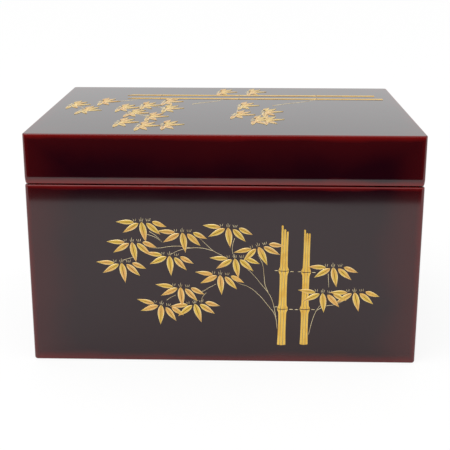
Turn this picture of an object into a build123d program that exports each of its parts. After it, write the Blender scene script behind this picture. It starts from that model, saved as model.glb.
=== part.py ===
from build123d import *

import os
from math import pi, sin

# A lacquered wooden box for tea utensils. Its lid fits over a raised inner rim, so that the
# outsides of the lid and of the body are flush. A shallow tray hangs on the rim inside.
# Frame: the origin is the middle of the underside, +X to the right, the front faces -Y, +Z up.
# All sizes are in millimetres.

# The outside
box_width = 215.0
box_depth = 155.0
body_height = 103.0
lid_height = 27.7

# Boards
wall = 7.0
base_thickness = 6.0
top_thickness = 5.5
base_rabbet = 4.0  # how far the base board is let into the walls
top_rabbet = 4.0  # how far the top board is let into the lid's walls

# Rounding of the lacquered edges
corner_radius = 2.0
foot_radius = 1.2
seam_radius = 0.8  # both edges of the seam between the body and the lid
crown_radius = 0.7

# Raised inner rim
rim_thickness = 3.5
rim_rise = 9.0
rim_drop = 24.0
rim_radius = 0.8
lid_play = 0.3  # between the rim and the lid's walls

# Slips let into saw cuts across the mitred corners
key_leg = 12.0
key_thickness = 1.0
key_rise = 22.0  # of the lowest slips above the underside
key_spacing = 26.0
key_count = 3
lid_key_rise = 11.0  # above the seam

# Six-sided wooden pegs that hold the base board
peg_radius = 0.9
peg_grip = 9.0  # into the walls
peg_spacing = 50.0

# Tray
tray_wall = 3.0
tray_depth = 24.0
tray_play = 0.8  # between the tray's walls and the rim
tray_panel = 2.5
tray_groove = 1.5
tray_foot = 1.5  # below the bottom panel
flange_thickness = 2.5
flange_inset = 0.5  # from the rim's outer face to the flange's
flange_radius = 0.8

# Gold bamboo, standing a little above the lacquer
leaf_relief = 0.25
stem_relief = 0.4
stem_width = 5.0
stem_waist = 0.25  # how much slimmer a stem is between two joints, on each side
joint_width = 6.0
joint_height = 1.7
joint_gap = 0.6
split_depth = 3.2  # at the top of a stem
leaf_clearance = 0.4  # between a stem and the leaves cut off beside it

# Outline of a leaf: where its widths are taken along it, and how far its belly lies forward
leaf_stations = (0.12, 0.38, 0.72)
leaf_belly = 0.72

# Split top of a stem: share of its half width, and height from its nominal top
stem_top = (
    (-0.8, 2.2),
    (-0.45, 1.6),
    (-0.38, -2.5),
    (-0.28, 0.2),
    (0.25, -0.2),
    (0.32, -3.0),
    (0.42, -1.0),
    (0.95, -1.6),
)

# One spray of five leaves: foot of each leaf from the spray's heart, direction, length, width
spray_leaves = (
    ((-3.8, 0.8), 175, 9.6, 2.4),
    ((-0.6, -0.2), 206, 11.0, 2.8),
    ((0.0, -0.6), 274, 10.6, 3.5),
    ((2.4, -0.2), 319, 9.6, 3.0),
    ((5.4, 0.9), 334, 8.8, 2.5),
)

# How far the middle of each picture lies from the middle of its face
front_offset = (0.3, -0.2)
lid_offset = (0.4, -2.8)

# Sprays on the front: heart from the middle of the picture, and turn in degrees
front_sprays = (
    ((-45.2, 30.7), 5),
    ((-23.0, 24.9), 2),
    ((1.9, 27.9), 0),
    ((-50.6, 19.1), 4),
    ((-56.6, 7.0), 0),
    ((-30.2, 11.4), -2),
    ((-24.4, -6.9), -1),
    ((-35.2, -17.6), -9),
    ((-16.4, -16.7), 12),
    ((-2.4, 0.5), -2),
    ((5.7, 10.2), 4),
    ((18.6, 16.6), 14),
    ((60.2, 5.3), 0),
    ((54.2, -9.5), -2),
    ((71.8, -8.9), 6),
)

# Sprays on the lid, in the same way, but turned so that the picture's foot points to +X
lid_sprays = (
    ((-96.6, 10.7), 0),
    ((-87.1, -6.8), -5),
    ((-79.8, 21.9), 4),
    ((-65.3, 1.2), 0),
    ((-52.2, 9.2), 6),
    ((-39.8, 23.3), 0),
    ((-37.8, -0.5), 3),
    ((-57.5, -15.1), -4),
    ((-60.3, -43.3), 0),
    ((-45.0, -26.2), 2),
    ((-47.5, -52.5), 0),
    ((-34.2, -49.8), 5),
    ((-6.3, 60.2), 0),
    ((13.3, 60.6), 2),
    ((8.0, 10.3), 0),
    ((5.2, -18.3), -6),
    ((16.1, -34.3), 0),
    ((22.2, -10.1), 4),
    ((22.1, -34.7), 8),
)

# Stems, from the same middles: place across the picture, foot, top, and the joints between
front_stems = (
    (32.2, -40.7, 28.3, (-18.9, 3.6)),
    (44.7, -40.3, 25.8, (-19.7, 2.9)),
)
lid_stems = (
    (47.5, -96.5, 66.8, (-56.6, -6.1, 44.4)),
    (35.5, -99.7, 65.4, (-56.0, -6.1, 44.4)),
)

# Worked out from the sizes above
total_height = body_height + lid_height
rim_top = body_height + rim_rise
tray_inset = wall + rim_thickness + tray_play
tray_low = rim_top - tray_depth
flange_width = tray_inset + tray_wall - wall - flange_inset
peg_inset = wall - base_rabbet / 2

os.makedirs("parts", exist_ok=True)


def save(piece, label):
    """Name a finished piece and write it out."""
    piece.label = label
    export_step(piece, f"parts/{label}.step")


# --- Rings of walls, and how they part into boards ---

# Each side is drawn as the front and turned: turn in degrees, length along it, size across
sides = {
    "front": (0, box_width, box_depth),
    "right": (90, box_depth, box_width),
    "back": (180, box_width, box_depth),
    "left": (270, box_depth, box_width),
}


def plate(inset):
    """Plan of a board that lies the distance inset within the outside of the box."""
    with BuildSketch() as plan:
        Rectangle(box_width - 2 * inset, box_depth - 2 * inset)
    return plan.sketch


def wall_ring(low, high, inset, thickness):
    """Four walls in one ring, whose outer faces lie the distance inset within the box's."""
    with BuildPart() as ring:
        with BuildSketch(Plane.XY.offset(low)):
            add(plate(inset))
            add(plate(inset + thickness), mode=Mode.SUBTRACT)
        extrude(amount=high - low)
    return ring.part


def outer_corners(ring):
    """The four upright outside edges of a ring."""
    return ring.edges().filter_by(Axis.Z).sort_by(lambda edge: Vector(edge.center().X, edge.center().Y).length)[-4:]


def mitred_side(side):
    """Plan of the room that one side's boards lie in, its ends at 45 degrees."""
    turn, length, across = sides[side]
    reach = min(box_width, box_depth) / 3
    with BuildSketch(Plane.XY.rotated((0, 0, turn))) as plan:
        with BuildLine():
            Polyline(
                (-length / 2, -across / 2),
                (length / 2, -across / 2),
                (length / 2 - reach, reach - across / 2),
                (reach - length / 2, reach - across / 2),
                close=True,
            )
        make_face()
    return plan.sketch


def save_boards(ring, label):
    """Part a ring into its four boards along the mitres. The label has a place for the side."""
    for side in sides:
        with BuildPart() as board:
            add(ring)
            extrude(mitred_side(side), amount=total_height, mode=Mode.INTERSECT)
        save(board.part, label.format(side))


# --- Slips across the mitres ---


def corner_slips(levels):
    """A right-angled slip in each corner at each level, flush with the rounded outside."""
    with BuildPart() as slips:
        for level in levels:
            with BuildSketch(Plane.XY.offset(level)):
                for x, inward_x in ((-box_width / 2, key_leg), (box_width / 2, -key_leg)):
                    for y, inward_y in ((-box_depth / 2, key_leg), (box_depth / 2, -key_leg)):
                        with BuildLine():
                            Polyline((x, y), (x + inward_x, y), (x, y + inward_y), close=True)
                        make_face()
                RectangleRounded(box_width, box_depth, corner_radius, mode=Mode.INTERSECT)
            extrude(amount=key_thickness)
    return slips.part


corner_keys = corner_slips([key_rise + i * key_spacing for i in range(key_count)])
save(corner_keys, "corner_keys")

lid_corner_keys = corner_slips([body_height + lid_key_rise])
save(lid_corner_keys, "lid_corner_keys")


# --- Body ---

# Pegs, driven up through the base board's margin into the walls
peg_places = [
    *GridLocations(peg_spacing, box_depth - 2 * peg_inset, 4, 2),
    *GridLocations(box_width - 2 * peg_inset, peg_spacing, 2, 2),
]

with BuildPart() as base_pegs:
    with BuildSketch():
        with Locations(*peg_places):
            RegularPolygon(peg_radius, 6)
    extrude(amount=base_thickness + peg_grip)
save(base_pegs.part, "base_pegs")

# Base board, let into the walls from below
with BuildPart() as base_board:
    extrude(plate(wall - base_rabbet), amount=base_thickness)
    add(base_pegs.part, mode=Mode.SUBTRACT)
save(base_board.part, "base_board")

# Wall boards, rounded outside, with the ledge for the base and the cuts for pegs and slips
with BuildPart() as body_walls:
    add(wall_ring(0, body_height, 0, wall))
    fillet(outer_corners(body_walls), corner_radius)
    fillet(body_walls.faces().sort_by(Axis.Z)[0].outer_wire().edges(), foot_radius)
    fillet(body_walls.faces().sort_by(Axis.Z)[-1].outer_wire().edges(), seam_radius)
    extrude(plate(wall - base_rabbet), amount=base_thickness, mode=Mode.SUBTRACT)
    add(base_pegs.part, mode=Mode.SUBTRACT)
    add(corner_keys, mode=Mode.SUBTRACT)
save_boards(body_walls.part, "{}_board")

# Rim: strips glued inside the walls, standing up to guide the lid and carry the tray
with BuildPart() as rim:
    add(wall_ring(body_height - rim_drop, rim_top, wall, rim_thickness))
    fillet(rim.faces().sort_by(Axis.Z)[-1].edges(), rim_radius)
save_boards(rim.part, "rim_{}")


# --- Lid ---

# Top board, let into the lid's walls from above
with BuildPart() as lid_top:
    with BuildSketch(Plane.XY.offset(total_height)):
        add(plate(wall - top_rabbet))
    extrude(amount=-top_thickness)
save(lid_top.part, "lid_top")

# Lid walls, thinner than the body's by the play on the rim, with the ledge for the top
with BuildPart() as lid_walls:
    add(wall_ring(body_height, total_height, 0, wall - lid_play))
    fillet(outer_corners(lid_walls), corner_radius)
    fillet(lid_walls.faces().sort_by(Axis.Z)[0].outer_wire().edges(), seam_radius)
    fillet(lid_walls.faces().sort_by(Axis.Z)[-1].outer_wire().edges(), crown_radius)
    add(lid_top.part, mode=Mode.SUBTRACT)
    add(lid_corner_keys, mode=Mode.SUBTRACT)
save_boards(lid_walls.part, "lid_{}_board")


# --- Tray ---

# Bottom panel, held in a groove all round
with BuildPart() as tray_bottom:
    with BuildSketch(Plane.XY.offset(tray_low + tray_foot)):
        add(plate(tray_inset + tray_wall - tray_groove))
    extrude(amount=tray_panel)
save(tray_bottom.part, "tray_bottom")

# Tray walls, with the groove
with BuildPart() as tray_walls:
    add(wall_ring(tray_low, rim_top, tray_inset, tray_wall))
    add(tray_bottom.part, mode=Mode.SUBTRACT)
save_boards(tray_walls.part, "tray_{}")

# Flange glued on top of the tray's walls, which rests on the rim
with BuildPart() as tray_flange:
    add(wall_ring(rim_top, rim_top + flange_thickness, wall + flange_inset, flange_width))
    fillet(tray_flange.faces().sort_by(Axis.Z)[-1].edges(), flange_radius)
save_boards(tray_flange.part, "tray_lip_{}")


# --- Gold bamboo ---


def leaf(length, width):
    """A bamboo leaf along +X from its foot, with a round belly that draws out to the tip."""
    edge = [(t * length, width / 2 * sin(pi * t**leaf_belly)) for t in leaf_stations]
    with BuildSketch() as outline:
        with BuildLine():
            Polyline((0, 0), *edge, (length, 0), *[(x, -y) for x, y in reversed(edge)], close=True)
        make_face()
    return outline.sketch


def leaf_sprays(places, turn):
    """All the leaves of a picture whose upright is turned by the angle given."""
    with BuildSketch() as spray:
        for foot, angle, length, width in spray_leaves:
            with Locations(Location(foot, angle)):
                add(leaf(length, width))
    with BuildSketch() as leaves:
        for heart, tilt in places:
            with Locations(Location(heart, turn + tilt)):
                add(spray.sketch)
    return leaves.sketch


def bamboo_stem(across, foot, top, joints):
    """One stem, drawn upright: slim-waisted lengths, a collar either side of each joint, and
    a split top."""
    half = stem_width / 2
    gap = joint_gap / 2
    stops = [foot, *joints, top]
    with BuildSketch() as stem:
        for low, high in zip(stops, stops[1:]):
            start = low + gap if low in joints else low
            end = high - gap if high in joints else high - split_depth
            tip = [] if high in joints else stem_top
            with BuildLine():
                for side in (-1, 1):
                    ThreePointArc(
                        (across + side * half, start),
                        (across + side * (half - stem_waist), (start + end) / 2),
                        (across + side * half, end),
                    )
                Line((across - half, start), (across + half, start))
                Polyline(
                    (across - half, end),
                    *[(across + x * half, top + rise) for x, rise in tip],
                    (across + half, end),
                )
            make_face()
        for joint in joints:
            for side in (-1, 1):
                near = joint + side * gap
                far = near + side * joint_height
                with BuildLine():
                    Polyline(
                        (across - joint_width / 2, near),
                        (across + joint_width / 2, near),
                        (across + half, far),
                        (across - half, far),
                        close=True,
                    )
                make_face()
    return stem.sketch


def room_beside(across, foot, top, joints):
    """Plan of one stem and its surroundings, which the leaves stay out of."""
    with BuildSketch() as room:
        with Locations((across, (foot + top) / 2)):
            Rectangle(joint_width + 2 * leaf_clearance, top - foot + 2 * split_depth)
    return room.sketch


# The face that each picture lies on, its turn, its sprays and its stems
front_face = Plane((0, -box_depth / 2, body_height / 2), x_dir=(1, 0, 0), z_dir=(0, -1, 0))
lid_face = Plane.XY.offset(total_height)
pictures = {
    "front": (front_face * Pos(*front_offset), 0, front_sprays, front_stems),
    "lid": (lid_face * Pos(*lid_offset), 90, lid_sprays, lid_stems),
}

for name, (face, turn, sprays, stems) in pictures.items():
    # Stems, the higher of the two reliefs
    with BuildPart() as culms:
        with BuildSketch(face):
            for stem in stems:
                add(bamboo_stem(*stem), rotation=turn)
        extrude(amount=stem_relief)
    save(culms.part, f"{name}_culms")

    # Leaves, stopped short of the stems
    with BuildPart() as leaves:
        with BuildSketch(face):
            add(leaf_sprays(sprays, turn))
            for stem in stems:
                add(room_beside(*stem), rotation=turn, mode=Mode.SUBTRACT)
        extrude(amount=leaf_relief)
    save(leaves.part, f"{name}_leaves")
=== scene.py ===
from math import cos, pi, radians, sin

import bmesh
import bpy
from mathutils import Matrix, Vector


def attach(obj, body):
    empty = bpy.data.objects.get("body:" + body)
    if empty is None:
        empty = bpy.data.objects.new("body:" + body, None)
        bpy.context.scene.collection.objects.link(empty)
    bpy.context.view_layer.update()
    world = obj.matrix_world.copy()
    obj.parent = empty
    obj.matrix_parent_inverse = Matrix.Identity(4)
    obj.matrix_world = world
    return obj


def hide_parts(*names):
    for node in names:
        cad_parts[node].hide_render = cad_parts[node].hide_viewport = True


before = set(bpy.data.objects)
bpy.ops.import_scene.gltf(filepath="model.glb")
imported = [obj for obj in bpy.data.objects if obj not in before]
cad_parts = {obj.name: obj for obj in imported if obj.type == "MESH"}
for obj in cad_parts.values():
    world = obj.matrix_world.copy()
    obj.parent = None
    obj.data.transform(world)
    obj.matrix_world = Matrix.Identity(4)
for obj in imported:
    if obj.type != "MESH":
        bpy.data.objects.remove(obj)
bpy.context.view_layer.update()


# --- Body walls ---
# Four boards of wood, mitred at the corners and held by thin slips let into the mitres.
# They are lacquered as one box, so that no joint shows: a clear red-brown lacquer over a
# dark ground, polished, which lies thinner along every edge, where the red light that comes
# back through it is painted into its colour as a glow.

mm = 0.001
box_width = 215.0
box_depth = 155.0
body_height = 103.0
body_seam = 0.32  # how far the lacquered upper edge stays below the seam
wall = 7.0
base_thickness = 6.0
base_ledge = 4.0
corner_radius = 2.0
foot_radius = 1.2
body_lip = 0.8
even_curve = 8  # facets of a rounded corner, even so that the mitre runs through its middle
small_curve = 5

upright_flush = 28.0  # how far a warmer tone, painted where less reflection lies on the lacquer, runs in from the upright edges
upright_reach = 4.0  # how far the painted red glow of an upright edge runs in from it
upright_glow = 0.4
crown_holdback = 2.5  # how much less the painted glow and warmer tone of the upper edge run on to the top
# Reach of the painted red glow from the top and the foot, its strength at the foot, and reach of
# the painted warmer tone from the top
body_edges = {"Top reach": 3.2, "Foot reach": 6.0, "Foot glow": 0.45, "Crown flush": 0.1}
# The lacquer's own dark colour on the flats, the warmer tone painted near the edges, and the
# painted red glow of light through the thin lacquer at them
lacquer_deep = (0.0125, 0.0009, 0.0032, 1)
lacquer_flush = (0.038, 0.0022, 0.0034, 1)
lacquer_glow = (0.165, 0.0045, 0.0038, 1)
lacquer_refraction = 1.52
swell_strength = 0.25
swell_height = 0.1

# Which way each side faces
sides = {"front": (0, -1), "right": (1, 0), "back": (0, 1), "left": (-1, 0)}
touching = 0.01  # places closer than this are the same
one_surface = radians(40)  # faces that turn less than this from each other shade as one


def feed(tree, node, sockets):
    """Give each socket named a plain value, or the output that feeds it."""
    for name, value in sockets.items():
        if isinstance(value, bpy.types.NodeSocket):
            tree.links.new(value, node.inputs[name])
        else:
            node.inputs[name].default_value = value


def put(tree, kind, sockets=None, **settings):
    """Place a node with its settings, and feed its sockets."""
    made = tree.nodes.new("ShaderNode" + kind)
    for name, value in settings.items():
        setattr(made, name, value)
    feed(tree, made, sockets or {})
    return made


def reckon(tree, operation, *values):
    """One step of arithmetic on plain values and outputs."""
    return put(tree, "Math", dict(enumerate(values)), operation=operation).outputs[0]


def noise(tree, place, scale, detail):
    """A cloudy pattern of values around a half."""
    sockets = {"Vector": place, "Scale": scale, "Detail": detail}
    return put(tree, "TexNoise", sockets).outputs["Fac"]


def band(tree, value, start, end):
    """0 before one value and 1 past another, smoothly. Works either way round."""
    sockets = {"Value": value, "From Min": start, "From Max": end}
    return put(tree, "MapRange", sockets, interpolation_type="SMOOTHSTEP").outputs["Result"]


def mix_colours(tree, factor, first, second):
    """The first colour where the factor is 0, the second where it is 1."""
    return put(tree, "Mix", {0: factor, 6: first, 7: second}, data_type="RGBA").outputs[2]


def bump(tree, height, strength, depth):
    """Where a surface faces that rises and falls by a depth in millimetres."""
    sockets = {"Strength": strength, "Distance": depth * mm, "Height": height}
    return put(tree, "Bump", sockets).outputs["Normal"]


def new_group(name, inputs, outputs):
    """A shader group with its named sockets, what it is given, and the node that it ends in."""
    group = bpy.data.node_groups.new(name, "ShaderNodeTree")
    for way, sockets in (("INPUT", inputs), ("OUTPUT", outputs)):
        for socket, kind in sockets.items():
            group.interface.new_socket(socket, in_out=way, socket_type="NodeSocket" + kind)
    given = group.nodes.new("NodeGroupInput").outputs
    return group, given, group.nodes.new("NodeGroupOutput")


def thickness_and_painted_glow_group():
    """How the clear lacquer looks: dark on the flats, with a warmer tone and a red glow of light
    painted near the box's edges.
    """
    group, given, result = new_group(
        "Lacquer thickness and painted glow",
        {
            **dict.fromkeys(("Bottom", "Top", *body_edges), "Float"),
            **dict.fromkeys(("Deep", "Flush", "Glow"), "Color"),
        },
        {"Color": "Color", "Roughness": "Float", "Height": "Float"},
    )
    place = put(group, "TexCoord").outputs["Object"]
    at = put(group, "SeparateXYZ", {0: place}).outputs

    def math(operation, *values):
        return reckon(group, operation, *values)

    # Distances in from the box's ends and long sides. On a wall the lesser is nothing, and
    # the greater is the distance to the nearest upright edge.
    from_ends = math("SUBTRACT", box_width * mm / 2, math("ABSOLUTE", at["X"]))
    from_long = math("SUBTRACT", box_depth * mm / 2, math("ABSOLUTE", at["Y"]))
    from_walls = math("MINIMUM", from_ends, from_long)
    from_upright = math("MAXIMUM", from_ends, from_long)
    from_crown = math("MULTIPLY", from_walls, crown_holdback)
    from_crown = math("MAXIMUM", from_crown, math("SUBTRACT", given["Top"], at["Z"]))
    from_foot = math("MAXIMUM", from_walls, math("SUBTRACT", at["Z"], given["Bottom"]))

    # Brushed on by hand: the painted glow and warmer tone are from 0.4 to 1.6 times as wide as
    # their reach
    drift = math("MULTIPLY_ADD", noise(group, place, 34.0, 3.0), 1.2 * mm, 0.4 * mm)

    def fade(distance, reach):
        scaled = math("DIVIDE", distance, math("MULTIPLY", drift, reach))
        return band(group, scaled, 1.0, 0.0)

    # A warmer tone painted in near the edges, where less reflection lies on the lacquer, mottled at
    # random
    cloud = math("MULTIPLY_ADD", noise(group, place, 9.0, 2.0), 0.8, 0.6)
    flush = math(
        "MAXIMUM", fade(from_upright, upright_flush), fade(from_crown, given["Crown flush"])
    )
    flush = math("MULTIPLY", flush, cloud)
    # The painted red glow of light that comes back through the thin lacquer along the edges
    glow = math(
        "MAXIMUM",
        math("MULTIPLY", fade(from_upright, upright_reach), upright_glow),
        math("MULTIPLY", fade(from_foot, given["Foot reach"]), given["Foot glow"]),
    )
    glow = math("MAXIMUM", glow, fade(from_crown, given["Top reach"]))
    flushed = mix_colours(group, flush, given["Deep"], given["Flush"])
    colour = mix_colours(group, glow, flushed, given["Glow"])

    # Polish: nearly flawless, with a faint swell and the odd duller patch
    dull = math("MULTIPLY_ADD", noise(group, place, 22.0, 5.0), 0.05, 0.035)
    swell = noise(group, place, 26.0, 1.0)
    feed(group, result, {"Color": colour, "Roughness": dull, "Height": swell})
    return group


def new_finish(name):
    """A material, its node tree and its plain shader."""
    finish = bpy.data.materials.new(name)
    finish.use_nodes = True
    return finish, finish.node_tree, finish.node_tree.nodes["Principled BSDF"]


lacquer_thickness_and_painted_glow = thickness_and_painted_glow_group()


def lacquer(name, bottom, top, edges, deep, flush, glow):
    """Polished lacquer on a box that reaches from one level to another."""
    finish, tree, shader = new_finish(name)
    levels = {"Bottom": bottom * mm, "Top": top * mm}
    colours = {"Deep": deep, "Flush": flush, "Glow": glow}
    # Its colour, with the warmer tone and the red glow painted near the edges
    depth = put(tree, "Group", {**levels, **edges, **colours}, node_tree=lacquer_thickness_and_painted_glow).outputs
    sockets = {
        "Base Color": depth["Color"],
        "Roughness": depth["Roughness"],
        "Normal": bump(tree, depth["Height"], swell_strength, swell_height),
        "IOR": lacquer_refraction,
    }
    feed(tree, shader, sockets)
    return finish


body_lacquer = lacquer(
    "Red-brown lacquer of the body",
    0,
    body_height,
    body_edges,
    lacquer_deep,
    lacquer_flush,
    lacquer_glow,
)
black = (0.0070, 0.0035, 0.0035, 1)
# A faint red glow of light painted along the edges of the black lacquer
painted_black_glow = (0.020, 0.004, 0.003, 1)
black_lacquer = lacquer(
    "Black lacquer inside", 0, body_height, body_edges, black, black, painted_black_glow
)


def wall_ring(low, high, inset, thickness, ledge=0, ledge_low=0, ledge_high=0):
    """Four walls in one ring. A ledge for a board can be cut into their lower or upper end."""
    ring = bmesh.new()
    middle = (low + high) / 2
    size = Vector((box_width - 2 * inset, box_depth - 2 * inset, high - low))
    place = Matrix.LocRotScale(Vector((0, 0, middle)), None, size)
    bmesh.ops.create_cube(ring, size=1, matrix=place)
    mouths = []
    for end, depth in ((-1, ledge_low), (1, ledge_high)):
        mouth = [
            face
            for face in ring.faces
            if face.normal.z * end > 0.5 and face.calc_center_median().z * end > middle * end
        ]
        bmesh.ops.inset_region(ring, faces=mouth, thickness=thickness - ledge, use_even_offset=True)
        if depth:
            mouth = bmesh.ops.extrude_discrete_faces(ring, faces=mouth)["faces"]
            bmesh.ops.translate(ring, verts=mouth[0].verts, vec=(0, 0, -end * depth))
        if ledge:
            bmesh.ops.inset_region(ring, faces=mouth, thickness=ledge, use_even_offset=True)
        mouths += mouth
    edges = [edge for mouth in mouths for edge in mouth.edges]
    bmesh.ops.delete(ring, geom=mouths, context="FACES_ONLY")
    bmesh.ops.bridge_loops(ring, edges=edges)
    bmesh.ops.recalc_face_normals(ring, faces=ring.faces)
    return ring


def round_over(shape, edges, radius, segments):
    """Round some edges of a shape."""
    bmesh.ops.bevel(
        shape,
        geom=edges,
        offset=radius,
        offset_type="OFFSET",
        segments=segments,
        profile=0.5,
        affect="EDGES",
        material=-1,
    )


def upright_corners(ring):
    """The four upright edges of a ring that lie on the outside of the box."""
    return [
        edge
        for edge in ring.edges
        if abs(abs(edge.verts[0].co.x) - box_width / 2) < touching
        and abs(abs(edge.verts[0].co.y) - box_depth / 2) < touching
        and (edge.verts[0].co.xy - edge.verts[1].co.xy).length < touching
    ]


def end_edges(ring, level, outside=True):
    """The edges where one end of a ring meets its outside, or its inside."""
    found = []
    for edge in ring.edges:
        steep = [face for face in edge.link_faces if abs(face.normal.z) < 0.5]
        if len(steep) == 1 and all(abs(vert.co.z - level) < touching for vert in edge.verts):
            middle = (edge.verts[0].co + edge.verts[1].co) / 2
            if (steep[0].normal.x * middle.x + steep[0].normal.y * middle.y > 0) == outside:
                found.append(edge)
    return found


def remember_facing(ring):
    """Keep, at each corner of each face, where the whole ring's surface faces, with flats flat."""
    ring.normal_update()
    facing = ring.loops.layers.float_vector.new("facing")
    for face in ring.faces:
        for corner in face.loops:
            near = [
                other
                for other in corner.vert.link_faces
                if other.normal.dot(face.normal) > cos(one_surface)
            ]
            weighed = [other.normal * other.calc_area() for other in near]
            corner[facing] = sum(weighed, Vector()).normalized()


def make_piece(name, shape, body, slot, *finishes):
    """Turn a shape drawn in millimetres into a piece that rides on a body."""
    bmesh.ops.scale(shape, vec=(mm, mm, mm), verts=shape.verts)
    mesh = bpy.data.meshes.new(name)
    shape.to_mesh(mesh)
    shape.free()
    for finish in finishes:
        mesh.materials.append(finish)
    mesh.shade_smooth()
    if "facing" in mesh.attributes:
        facing = [corner.vector.copy() for corner in mesh.attributes["facing"].data]
        for face in mesh.polygons:
            for corner in face.loop_indices:
                if facing[corner].length < 0.5:  # a face cut since then, at a mitre
                    facing[corner] = face.normal.copy()
        mesh.attributes.remove(mesh.attributes["facing"])
        mesh.normals_split_custom_set(facing)
    piece = bpy.data.objects.new(name, mesh)
    bpy.context.scene.collection.objects.link(piece)
    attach(piece, body)
    return piece


def part_boards(ring, name, body, slot, *finishes):
    """Part a ring into its four boards along the mitres. An inner face takes the second finish."""
    remember_facing(ring)
    if len(finishes) > 1:
        for face in ring.faces:
            middle = face.calc_center_median()
            if face.normal.x * middle.x + face.normal.y * middle.y < -0.5:
                face.material_index = 1
    boards = {}
    for side, (out_x, out_y) in sides.items():
        out = Vector((out_x, out_y, 0))
        along = Vector((-out_y, out_x, 0))
        board = ring.copy()
        for end in (-1, 1):
            diagonal = out + along * end
            bmesh.ops.bisect_plane(
                board,
                geom=[*board.verts, *board.edges, *board.faces],
                dist=0.0001,
                plane_co=(diagonal.x * box_width / 2, diagonal.y * box_depth / 2, 0),
                plane_no=along * end - out,
                clear_outer=True,
            )
            open_edges = [edge for edge in board.edges if edge.is_boundary]
            bmesh.ops.holes_fill(board, edges=open_edges, sides=0)
        boards[side] = make_piece(f"{name}_{side}", board, body, slot, *finishes)
    ring.free()
    return boards


body_top = body_height - body_seam
body_ring = wall_ring(0, body_top, 0, wall, ledge=base_ledge, ledge_low=base_thickness)
round_over(body_ring, upright_corners(body_ring), corner_radius, even_curve)
round_over(body_ring, end_edges(body_ring, 0), foot_radius, small_curve)
round_over(body_ring, end_edges(body_ring, body_top), body_lip, small_curve)
body_boards = part_boards(
    body_ring, "body_wall", "box", "lacquer_outside", body_lacquer, black_lacquer
)
for side, board in body_boards.items():
    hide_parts(f"{side}_board", "corner_keys")


# --- Base ---
# A board let into the walls from below and pegged there with wooden pegs, under the same
# lacquer as the walls.


def refinish(name, finish):
    """Give another finish to a piece that keeps its shape from the frame."""
    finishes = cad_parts[name].data.materials
    finishes.clear()
    finishes.append(finish)


refinish("base_board", body_lacquer)
refinish("base_pegs", body_lacquer)


# --- Rim ---
# Four strips glued inside the walls, which stand up above them to guide the lid and carry
# the tray. Black lacquer, with its upper edges eased.

rim_thickness = 3.5
rim_low = 79.0
rim_top = 112.0
rim_ease = 0.8

rim_ring = wall_ring(rim_low, rim_top, wall, rim_thickness)
round_over(
    rim_ring,
    end_edges(rim_ring, rim_top) + end_edges(rim_ring, rim_top, outside=False),
    rim_ease,
    small_curve,
)
rim_strips = part_boards(rim_ring, "rim_strip", "box", "lacquer_inside", black_lacquer)
for side, strip in rim_strips.items():
    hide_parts(f"rim_{side}")


# --- Tray ---
# A shallow tray of thin boards, its bottom panel held in a groove. A flange glued on top of
# its walls rests on the rim and hangs the tray inside the box.

tray_inset = 11.3
tray_wall = 3.0
tray_low = 88.0
flange_inset = 7.5
flange_width = 6.8
flange_top = 114.5

tray_ring = wall_ring(tray_low, rim_top, tray_inset, tray_wall)
tray_boards = part_boards(tray_ring, "tray_wall", "tray", "lacquer_inside", black_lacquer)
for side, board in tray_boards.items():
    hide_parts(f"tray_{side}")
refinish("tray_bottom", black_lacquer)

flange_ring = wall_ring(rim_top, flange_top, flange_inset, flange_width)
round_over(
    flange_ring,
    end_edges(flange_ring, flange_top) + end_edges(flange_ring, flange_top, outside=False),
    rim_ease,
    small_curve,
)
flange_strips = part_boards(flange_ring, "tray_flange", "tray", "lacquer_inside", black_lacquer)
for side, strip in flange_strips.items():
    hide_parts(f"tray_lip_{side}")


# --- Lid ---
# Four mitred boards and a top board let into them, lacquered like the body. The lower edge
# is drawn in over some four millimetres, so that it catches the light above the seam;
# a red glow of light is painted along it as well.

lid_top_level = 130.7
lid_seam = 0.28  # how far the lacquered lower edge stays above the seam
lid_wall = 6.7
top_thickness = 5.5
top_ledge = 3.7
crown_radius = 0.7
lid_lip_depth = 0.7
lid_lip_height = 4.4
fine_curve = 12
# The painted red glow is strong along the drawn-in lower edge, and the painted warmer tone runs far
# down the walls from the top
lid_edges = {"Top reach": 3.6, "Foot reach": 4.6, "Foot glow": 0.9, "Crown flush": 21.0}

lid_lacquer = lacquer(
    "Red-brown lacquer of the lid",
    body_height,
    lid_top_level,
    lid_edges,
    lacquer_deep,
    lacquer_flush,
    lacquer_glow,
)

lid_low = body_height + lid_seam
lid_ring = wall_ring(lid_low, lid_top_level, 0, lid_wall, ledge=top_ledge, ledge_high=top_thickness)
round_over(lid_ring, upright_corners(lid_ring), corner_radius, even_curve)
round_over(lid_ring, end_edges(lid_ring, lid_top_level), crown_radius, small_curve)
round_over(lid_ring, end_edges(lid_ring, lid_low), lid_lip_depth, fine_curve)
bmesh.ops.scale(
    lid_ring,
    vec=(1, 1, lid_lip_height / lid_lip_depth),
    space=Matrix.Translation((0, 0, -lid_low)),
    verts=[vert for vert in lid_ring.verts if vert.co.z < lid_low + lid_lip_depth + touching],
)
lid_boards = part_boards(
    lid_ring, "lid_wall", "lid", "lacquer_outside", lid_lacquer, black_lacquer
)
for side, board in lid_boards.items():
    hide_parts(f"lid_{side}_board", "lid_corner_keys")
refinish("lid_top", lid_lacquer)


# --- Gold leaves ---
# Bamboo leaves of gold powder sprinkled on raised lacquer and burnished, in sprays of five.
# Each leaf has a brighter outline and a vein let in along its middle.

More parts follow.
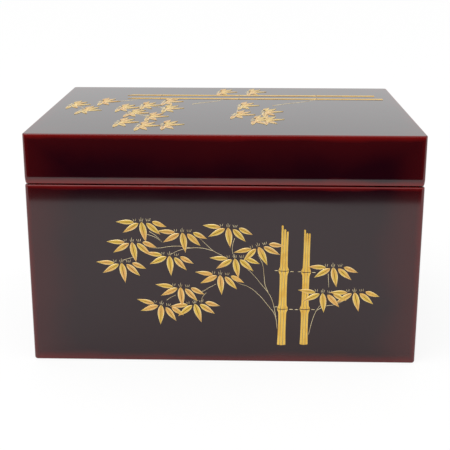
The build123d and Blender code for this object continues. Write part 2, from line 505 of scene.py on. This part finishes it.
leaf_rise = 0.33
leaf_edge_rise = 0.24  # above the stems, which some leaves cross
leaf_belly = 0.72
leaf_tip_half = 0.1
leaf_overlap = 0.01  # each leaf of a spray lies this much higher than the one before
leaf_crown = 2.5  # the higher, the flatter a leaf is between its edges
leaf_rows = 14
leaf_columns = 8
vein_depth = 0.06
vein_half = 0.1  # as a share of half the leaf's width
vein_draw = 0.6  # how much closer the columns lie beside the vein
relief_root = 0.1  # how deep the gold is let into the lacquer
grain_strength = 0.3
grain_height = 0.05
gold_metal = 0.7
binder_weight = 0.35  # of the thin clear lacquer that binds the powder
binder_roughness = 0.15
leaf_tone = (0.72, 0.475, 0.07, 1)
leaf_outline = (0.95, 0.75, 0.38, 1)
leaf_vein = (0.24, 0.12, 0.02, 1)
warm_gold = (0.74, 0.41, 0.11, 1)

# Foot of each leaf from the spray's heart, direction, length, width
spray_leaves = (
    ((-3.95, 0.4), 174, 9.7, 2.6),
    ((-1.6, -0.4), 207.5, 10.1, 3.1),
    ((0.05, 0.15), 276.5, 11.5, 3.7),
    ((2.8, -0.7), 314.5, 9.8, 3.2),
    ((6.0, -0.1), 334, 8.2, 2.7),
)
# How far the middle of each picture lies from the middle of its face
front_offset = (0.3, -0.2)
lid_offset = (0.4, -2.8)
# Heart of each spray from the middle of the picture on the front, and its turn
front_sprays = (
    ((-45.2, 30.7), 5),
    ((-23.0, 24.9), 2),
    ((1.9, 27.9), 0),
    ((-50.6, 19.1), 4),
    ((-56.6, 7.0), 3),
    ((-30.2, 11.4), -2),
    ((-24.4, -6.9), -1),
    ((-35.2, -17.6), -9),
    ((-16.4, -16.7), 12),
    ((-2.4, 0.5), -2),
    ((5.7, 10.2), 4),
    ((18.6, 17.0), 19),
    ((59.5, 5.6), 4),
    ((54.2, -9.5), -2),
    ((71.8, -8.9), 6),
)
# The same on the lid, whose picture is turned a quarter so that its foot points right
lid_sprays = (
    ((-96.6, 10.7), 0),
    ((-87.1, -6.8), -5),
    ((-79.8, 21.9), 4),
    ((-65.3, 1.2), 0),
    ((-52.2, 9.2), 6),
    ((-39.8, 23.3), 0),
    ((-37.8, -0.5), 3),
    ((-57.5, -15.1), -4),
    ((-60.3, -43.3), 0),
    ((-45.0, -26.2), 2),
    ((-47.5, -52.5), 0),
    ((-34.2, -49.8), 5),
    ((-6.3, 60.2), 0),
    ((13.3, 60.6), 2),
    ((8.0, 10.3), 0),
    ((5.2, -18.3), -6),
    ((16.1, -34.3), 0),
    ((22.2, -10.1), 4),
    ((22.1, -34.7), 8),
)
front_face = Matrix.Translation((0, -box_depth / 2, body_height / 2))
front_face = front_face @ Matrix.Rotation(pi / 2, 4, "X")
front_picture = front_face @ Matrix.Translation((*front_offset, 0))
lid_picture = Matrix.Translation((*lid_offset, lid_top_level))
lid_fullness = 1.08  # the lid's leaves are painted broader

# Where each picture lies, its turn, its sprays, how full its leaves are, and its body
pictures = {
    "front": (front_picture, 0, front_sprays, 1, "box"),
    "lid": (lid_picture, pi / 2, lid_sprays, lid_fullness, "lid"),
}


def gold_powder_group():
    """Gold powder: its tone as painted, thinner and warmer here and there, with a fine grain."""
    group, given, result = new_group(
        "Gold powder",
        {"Tone": "Color", "Thin": "Color"},
        {"Color": "Color", "Roughness": "Float", "Height": "Float"},
    )
    place = put(group, "TexCoord").outputs["Object"]
    worn = noise(group, place, 170.0, 3.0)
    amount = put(
        group,
        "MapRange",
        {"Value": worn, "From Min": 0.48, "From Max": 0.68, "To Min": 0.0, "To Max": 0.8},
    ).outputs["Result"]
    colour = mix_colours(group, amount, given["Tone"], given["Thin"])
    grain = noise(group, place, 7000.0, 2.0)
    rough = reckon(group, "MULTIPLY_ADD", grain, 0.25, 0.30)
    feed(group, result, {"Color": colour, "Roughness": rough, "Height": grain})
    return group


gold_powder = gold_powder_group()


def gild(tree, shader, tone, thin):
    """Finish a shader as gold powder of the tone given."""
    powder = put(tree, "Group", {"Tone": tone, "Thin": thin}, node_tree=gold_powder).outputs
    sockets = {
        "Base Color": powder["Color"],
        "Roughness": powder["Roughness"],
        "Normal": bump(tree, powder["Height"], grain_strength, grain_height),
        "Metallic": gold_metal,
        "Coat Weight": binder_weight,
        "Coat Roughness": binder_roughness,
    }
    feed(tree, shader, sockets)


def from_middle(tree, share):
    """How far a share from 0 to 1 is from a half."""
    return reckon(tree, "ABSOLUTE", reckon(tree, "SUBTRACT", share, 0.5))


def leaf_gold():
    """The leaves' gold. Their UV map runs across and along each leaf."""
    finish, tree, shader = new_finish("Gold of the leaves")
    at = put(tree, "SeparateXYZ", {0: put(tree, "UVMap", uv_map="leaf").outputs["UV"]}).outputs
    aside = from_middle(tree, at["X"])
    warmth = noise(tree, put(tree, "TexCoord").outputs["Object"], 90.0, 0.0)
    tone = mix_colours(tree, band(tree, warmth, 0.46, 0.62), leaf_tone, warm_gold)
    tone = mix_colours(tree, band(tree, aside, 0.08, 0.05), tone, leaf_vein)
    tone = mix_colours(tree, band(tree, aside, 0.34, 0.42), tone, leaf_outline)
    tone = mix_colours(tree, band(tree, at["Y"], 0.90, 0.97), tone, leaf_outline)
    gild(tree, shader, tone, warm_gold)
    return finish


leaf_finish = leaf_gold()


def add_leaf(leaves, place, length, width, lift):
    """One leaf along +X from its foot, with a round belly that draws out to the tip."""
    across_and_along = leaves.loops.layers.uv["leaf"]
    sheet = bmesh.ops.create_grid(leaves, x_segments=leaf_rows, y_segments=leaf_columns, size=1)
    under = sheet["verts"]
    for vert in under:
        vert.co.y *= abs(vert.co.y) ** vein_draw
    faces = list(dict.fromkeys(face for vert in under for face in vert.link_faces))
    for face in faces:
        for corner in face.loops:
            corner[across_and_along].uv = (corner.vert.co.y / 2 + 0.5, corner.vert.co.x / 2 + 0.5)
    raised = bmesh.ops.extrude_face_region(leaves, geom=faces)["geom"]
    upper = [part for part in raised if isinstance(part, bmesh.types.BMVert)]
    for vert in under:
        vert.co.z = -relief_root
    for vert in upper:
        aside = abs(vert.co.y)
        vein = vein_depth * max(0, 1 - aside / vein_half)
        crown = (leaf_rise - leaf_edge_rise) * (1 - aside**leaf_crown)
        vert.co.z = leaf_edge_rise + crown - vein + lift
    for vert in [*under, *upper]:
        along = vert.co.x / 2 + 0.5
        along = 0.5 - 0.5 * cos(pi * along)
        half = max(width / 2 * sin(pi * along**leaf_belly), leaf_tip_half)
        vert.co.x = along * length
        vert.co.y *= half
    bmesh.ops.transform(leaves, matrix=place, verts=[*under, *upper])


def laid(point, angle):
    """Where something drawn at the origin lies when it is set at a point, turned."""
    return Matrix.Translation((*point, 0)) @ Matrix.Rotation(angle, 4, "Z")


for picture, (plane, turn, sprays, fullness, body) in pictures.items():
    leaves = bmesh.new()
    leaves.loops.layers.uv.new("leaf")
    for heart, tilt in sprays:
        spray = plane @ laid(heart, turn + radians(tilt))
        for order, (foot, angle, length, width) in enumerate(spray_leaves):
            place = spray @ laid(foot, radians(angle))
            add_leaf(leaves, place, length, width * fullness, order * leaf_overlap)
    bmesh.ops.recalc_face_normals(leaves, faces=leaves.faces)
    piece = make_piece(f"{picture}_bamboo_leaves", leaves, body, "gold", leaf_finish)
    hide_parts(f"{picture}_leaves")


# --- Gold stems ---
# Two bamboo stems on each picture, in raised gold. Each is worked as three slats side by
# side between swollen joints, and breaks off in a ragged top.

stem_rise = 0.22
stem_edge_rise = 0.12
stem_waist = 0.2
joint_swell = 0.8
joint_height = 2.1
joint_gap = 0.45
joint_bow = 0.35  # how far the middle of a joint's line hangs below its ends
slat_rows = 26
slat_columns = 6
slat_crown = 3  # the higher, the flatter a slat is between its edges
slit_length = 6.0  # of the gap that opens between two slats at the top
slit_half = 0.055  # as a share of half the stem's width
tip_rise = 0.5
tip_roundness = 20  # the higher, the nearer to its end a slat begins to round off
stem_tone = (0.80, 0.50, 0.07, 1)
stem_edge = (0.93, 0.70, 0.28, 1)
stem_streak = (0.68, 0.38, 0.05, 1)
slat_line = (0.16, 0.065, 0.01, 1)

slat_edges = (-1.0, -0.36, 0.34, 1.0)  # as shares of the half width
# Place across the picture at foot and top, half the width there, foot, tops of the three
# slats, and the joints between
front_stems = (
    ((31.95, 33.0), (2.42, 2.1), -40.5, (29.4, 27.3, 25.9), (-18.9, 3.6)),
    ((44.5, 45.05), (2.3, 1.9), -40.1, (27.0, 25.2, 24.9), (-18.9, 3.0)),
)
lid_stems = (
    ((47.5, 47.5), (2.2, 1.7), -94.4, (66.4, 64.8, 63.6), (-56.6, -6.1, 44.4)),
    ((35.5, 35.5), (2.2, 1.7), -98.3, (64.8, 63.3, 62.2), (-56.0, -6.1, 44.4)),
)


def stem_gold():
    """The stems' gold. Their UV map runs across each slat, and along it in centimetres."""
    finish, tree, shader = new_finish("Gold of the stems")
    place = put(tree, "UVMap", uv_map="slat").outputs["UV"]
    aside = from_middle(tree, put(tree, "SeparateXYZ", {0: place}).outputs["X"])
    drawn = put(tree, "Mapping", {"Vector": place, "Scale": (3.0, 0.4, 1.0)}).outputs["Vector"]
    streak = noise(tree, drawn, 2.2, 2.0)
    tone = mix_colours(tree, band(tree, streak, 0.52, 0.75), stem_tone, stem_streak)
    tone = mix_colours(tree, band(tree, aside, 0.28, 0.38), tone, stem_edge)
    tone = mix_colours(tree, band(tree, aside, 0.40, 0.44), tone, slat_line)
    gild(tree, shader, tone, stem_streak)
    return finish


stem_finish = stem_gold()


def between(pair, share):
    """A value part of the way from the first of a pair to the second."""
    return pair[0] + (pair[1] - pair[0]) * share


def swelling(level, start, end, joints):
    """How much wider than its taper half a stem is, at a level between two joints or ends."""
    share = min(max((level - start) / (end - start), 0), 1)
    nearest = min(abs(level - joint) for joint in joints) - joint_gap / 2
    return joint_swell * max(0, 1 - nearest / joint_height) - stem_waist * sin(pi * share)


def add_slat(stems, upright, stem, start, end, left, right, is_top):
    """One slat of one length of a stem."""
    across, halves, foot, tops, joints = stem
    across_and_along = stems.loops.layers.uv["slat"]
    sheet = bmesh.ops.create_grid(stems, x_segments=slat_columns, y_segments=slat_rows, size=1)
    under = sheet["verts"]
    faces = list(dict.fromkeys(face for vert in under for face in vert.link_faces))
    for face in faces:
        for corner in face.loops:
            share = corner.vert.co.y / 2 + 0.5
            level = start + (end - start) * share
            corner[across_and_along].uv = (corner.vert.co.x / 2 + 0.5, level / 10 + left)
    raised = bmesh.ops.extrude_face_region(stems, geom=faces)["geom"]
    upper = [part for part in raised if isinstance(part, bmesh.types.BMVert)]
    for vert in under:
        vert.co.z = -relief_root
    for vert in upper:
        crown = (stem_rise - stem_edge_rise) * (1 - abs(vert.co.x) ** slat_crown)
        vert.co.z = stem_edge_rise + crown
    for vert in [*under, *upper]:
        share = 0.5 - 0.5 * cos(pi * (vert.co.y / 2 + 0.5))
        level = start + (end - start) * share
        rise = (level - foot) / (tops[1] - foot)
        half = between(halves, rise) + swelling(level, start, end, joints)
        slit = slit_half * max(0, 1 - (end - level) / slit_length) if is_top else 0
        offset = (left + right) / 2 + ((right - left) / 2 - slit) * vert.co.x
        tip = tip_rise * (1 - vert.co.x**2) * share**tip_roundness if is_top else 0
        vert.co.y = level + tip - joint_bow * (1 - offset**2)
        vert.co.x = between(across, rise) + half * offset
    bmesh.ops.transform(stems, matrix=upright, verts=[*under, *upper])


for picture, stem_list in (("front", front_stems), ("lid", lid_stems)):
    plane, turn, _, _, body = pictures[picture]
    upright = plane @ Matrix.Rotation(turn, 4, "Z")
    stems = bmesh.new()
    stems.loops.layers.uv.new("slat")
    for stem in stem_list:
        _, _, foot, tops, joints = stem
        starts = [foot, *(joint + joint_gap / 2 for joint in joints)]
        for left, right, top in zip(slat_edges, slat_edges[1:], tops):
            ends = [*(joint - joint_gap / 2 for joint in joints), top]
            for start, end in zip(starts, ends):
                add_slat(stems, upright, stem, start, end, left, right, end == top)
    bmesh.ops.recalc_face_normals(stems, faces=stems.faces)
    piece = make_piece(f"{picture}_bamboo_stems", stems, body, "gold", stem_finish)
    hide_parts(f"{picture}_culms")


# --- Gold twigs ---
# Fine lines of gold drawn with a hair brush: the twigs that carry the sprays, three small
# tufts of shoots over each spray, and short strokes beside the joints of the stems.

twig_radii = {"front": 0.12, "lid": 0.2}
twig_taper = (1.15, 0.7)  # how much of that radius is left at the foot and at the tip
shoot_radius = 0.12
stroke_radius = 0.20
stroke_bow = 0.05
line_flatness = 0.8
line_gold = (0.90, 0.76, 0.46, 1)
line_dark = (0.55, 0.38, 0.16, 1)

front_twigs = (
    ((29.5, -31), (28.2, -23), (23.8, -16.5), (19, -10.7), (13.5, -6.2), (8, -4), (4.5, -1)),
    ((28.8, -24), (26.5, -14), (24.5, -9.8), (21.3, -5.7), (14.6, 2.5), (9, 7.5)),
    ((24.3, -9.6), (22.5, -4.8), (21.8, 1), (21, 7), (18.4, 12.5)),
    ((5.6, 22), (4.5, 18), (4.5, 14), (5.7, 11)),
    ((-1, 12), (-5.9, 14.6), (-9.4, 17.8), (-13.5, 22)),
    ((-5.9, 14.6), (-12, 16.2), (-18.3, 16.2), (-24.4, 14.9), (-29.5, 12.5)),
    ((-18.3, 16.2), (-24.4, 17.2), (-30, 17), (-36, 16), (-41, 16.3)),
    ((-42.5, 24), (-39, 22.8), (-36, 21.2), (-34, 19.5)),
    ((-41, 25.5), (-38, 23.6), (-35.2, 21)),
    ((-56, 8.8), (-53.2, 9.6), (-50, 10.6)),
    ((-16, -9.5), (-12.5, -9.2), (-8.5, -6.9), (-4.5, -4.6)),
    ((-32, -14.6), (-29.8, -12.9), (-27, -11.4)),
    ((-12.6, -14.8), (-12.2, -12.7), (-10, -9.8)),
    ((47.1, -34.4), (49, -25.7), (51.2, -19.7), (54, -15.5)),
    ((51.2, -19.7), (56, -17.1), (61.5, -16.1), (66.5, -13.5)),
    ((57, 2), (57.6, -6)),
)
lid_twigs = (
    ((27.3, 11), (36, 18.5), (46, 24.5), (56, 34)),
    ((-22.5, 15.8), (-15.3, 21.5), (-8.4, 26), (-4, 33)),
    ((-74, 22), (-66, 26), (-58, 31)),
    ((-96, 11), (-90, 4), (-86, -5)),
    ((-52, 8), (-58, 3), (-63, 1)),
    ((-38, 1), (-44, 6), (-50, 9)),
    ((-45, -25), (-51, -20), (-56, -15)),
    ((8, 10), (6, -3), (5.5, -17)),
    ((22, -10), (19, -22), (16.5, -33)),
)
# Where each stroke beside a joint starts, across and up the picture, and its length
front_strokes = (
    (27.6, 3.5, 2.0),
    (36.1, 3.0, 2.1),
    (40.3, 3.0, 2.0),
    (48.2, 2.6, 2.0),
    (27.9, -17.9, 2.0),
    (36.0, -19.3, 2.1),
    (39.1, -19.4, 1.9),
    (48.2, -19.3, 2.0),
)
# Shoots over each spray: foot from its heart, lean in degrees, and length
spray_shoots = (
    ((-3.9, 1.0), 15, 1.3),
    ((-3.1, 0.9), -12, 1.4),
    ((-0.5, 0.5), 15, 1.5),
    ((0.1, 0.5), 0, 2.3),
    ((0.7, 0.5), -15, 1.5),
    ((3.2, 0.4), 20, 1.5),
    ((3.9, 0.3), 0, 1.4),
    ((4.6, 0.4), -20, 1.5),
)


def line_gold_finish():
    """The thin gold of brushed lines."""
    finish, tree, shader = new_finish("Gold of the lines")
    gild(tree, shader, line_gold, line_dark)
    return finish


line_finish = line_gold_finish()


def draw_line(curve, points, radii):
    """One brushed line through some points of a picture."""
    spline = curve.splines.new("BEZIER")
    spline.bezier_points.add(len(points) - 1)
    for knot, point, radius in zip(spline.bezier_points, points, radii):
        knot.co = (*point, 0)
        knot.handle_left_type = knot.handle_right_type = "AUTO"
        knot.radius = radius


for picture, twigs in (("front", front_twigs), ("lid", lid_twigs)):
    plane, turn, sprays, _, body = pictures[picture]
    curve = bpy.data.curves.new(f"{picture}_lines", "CURVE")
    curve.dimensions = "3D"
    curve.bevel_depth = 1.0
    curve.bevel_resolution = 1
    curve.resolution_u = 6
    curve.use_fill_caps = True
    for twig in twigs:
        steps = [knot / (len(twig) - 1) for knot in range(len(twig))]
        draw_line(curve, twig, [twig_radii[picture] * between(twig_taper, step) for step in steps])
    for heart, tilt in sprays:
        spray = laid(heart, turn + radians(tilt))
        for foot, lean, length in spray_shoots:
            shoot = spray @ laid(foot, radians(lean))
            knots = [(shoot @ Vector((0, step * length, 0))).xy for step in (0, 0.6, 1)]
            draw_line(curve, knots, [shoot_radius, shoot_radius, shoot_radius / 2])
    if picture == "front":
        for x, y, length in front_strokes:
            knots = [(x, y), (x + length / 2, y + stroke_bow), (x + length, y)]
            draw_line(curve, knots, [stroke_radius / 2, stroke_radius, stroke_radius / 2])
    drawn = bpy.data.objects.new(curve.name, curve)
    bpy.context.scene.collection.objects.link(drawn)
    graph = bpy.context.evaluated_depsgraph_get()
    flat = bpy.data.meshes.new_from_object(drawn.evaluated_get(graph))
    bpy.data.objects.remove(drawn)
    lines = bmesh.new()
    lines.from_mesh(flat)
    bpy.data.meshes.remove(flat)
    bmesh.ops.remove_doubles(lines, verts=lines.verts, dist=0.001)
    bmesh.ops.scale(lines, vec=(1, 1, line_flatness), verts=lines.verts)
    bmesh.ops.transform(lines, matrix=plane, verts=lines.verts)
    bmesh.ops.recalc_face_normals(lines, faces=lines.faces)
    make_piece(f"{picture}_bamboo_twigs", lines, body, "gold", line_finish)


# --- Studio ---
# A pale floor that runs on to the horizon under a white room. In the gloss of the box the
# floor ends a little way in front of it, as the sheet of paper in a small studio does.

paper_end = -0.397  # metres in front of the middle of the box
paper_fade = 0.003
room_end = -0.445
room_grey = 0.12
paper_glow = 0.85  # how much of the paper's white is its own, so that shadows stay soft
mirrored_glow = 0.25  # the same in the gloss of the box, where they show more
room_dark = (0.0, 0.0, 0.0, 1)
paper_white = (1.0, 1.0, 1.0, 1)
room_light = 0.95
soft_box_power = 6.0

paper_finish = bpy.data.materials.new("White paper")
paper_finish.use_nodes = True
tree = paper_finish.node_tree
tree.nodes.remove(tree.nodes["Principled BSDF"])
far = put(tree, "SeparateXYZ", {0: put(tree, "TexCoord").outputs["Object"]}).outputs["Y"]
off_paper = band(tree, far, paper_end, paper_end - paper_fade)
off_room = band(tree, far, paper_end, room_end)
beyond = reckon(tree, "MULTIPLY", off_paper, 1 - room_grey)
beyond = reckon(tree, "MULTIPLY_ADD", off_room, room_grey, beyond)
mirrored = put(tree, "LightPath").outputs["Is Glossy Ray"]
unlit = reckon(tree, "MULTIPLY", beyond, mirrored)
shade = mix_colours(tree, unlit, paper_white, room_dark)
paper = put(tree, "BsdfDiffuse", {"Color": shade}).outputs[0]
bright = put(tree, "Emission", {"Color": shade, "Strength": 1.0}).outputs[0]
glow = reckon(tree, "MULTIPLY_ADD", mirrored, mirrored_glow - paper_glow, paper_glow)
lit = put(tree, "MixShader", {0: glow, 1: paper, 2: bright}).outputs[0]
tree.links.new(lit, tree.nodes["Material Output"].inputs["Surface"])

floor_shape = bmesh.new()
bmesh.ops.create_grid(floor_shape, x_segments=4, y_segments=4, size=6)
floor_mesh = bpy.data.meshes.new("floor")
floor_shape.to_mesh(floor_mesh)
floor_shape.free()
floor_mesh.materials.append(paper_finish)
floor = bpy.data.objects.new("floor", floor_mesh)
bpy.context.scene.collection.objects.link(floor)

world = bpy.data.worlds.new("White room")
world.use_nodes = True
room = {"Color": paper_white, "Strength": room_light}
feed(world.node_tree, world.node_tree.nodes["Background"], room)
bpy.context.scene.world = world

soft_box = bpy.data.lights.new("soft box", "AREA")
soft_box.shape = "RECTANGLE"
soft_box.size = 1.2
soft_box.size_y = 0.8
soft_box.energy = soft_box_power
soft_box_stand = bpy.data.objects.new("soft box", soft_box)
soft_box_stand.location = (-0.5, -0.5, 1.3)
soft_box_stand.rotation_euler = (radians(22), radians(-20), 0)
bpy.context.scene.collection.objects.link(soft_box_stand)

bpy.context.scene.view_settings.view_transform = "Standard"


# --- Camera ---
# It stands in front of the box, a little to the right of its middle, and looks down on it
# through a moderately long lens.

lens = bpy.data.cameras.new("camera")
lens.sensor_width = 36.0
lens.lens = 73.24
lens.shift_y = -0.0833
lens.clip_start = 0.01
camera = bpy.data.objects.new("camera", lens)
camera.location = (0.0122, -0.5502, 0.2326)
camera.rotation_euler = (radians(74.553), radians(-0.061), radians(1.420))
bpy.context.scene.collection.objects.link(camera)
bpy.context.scene.camera = camera
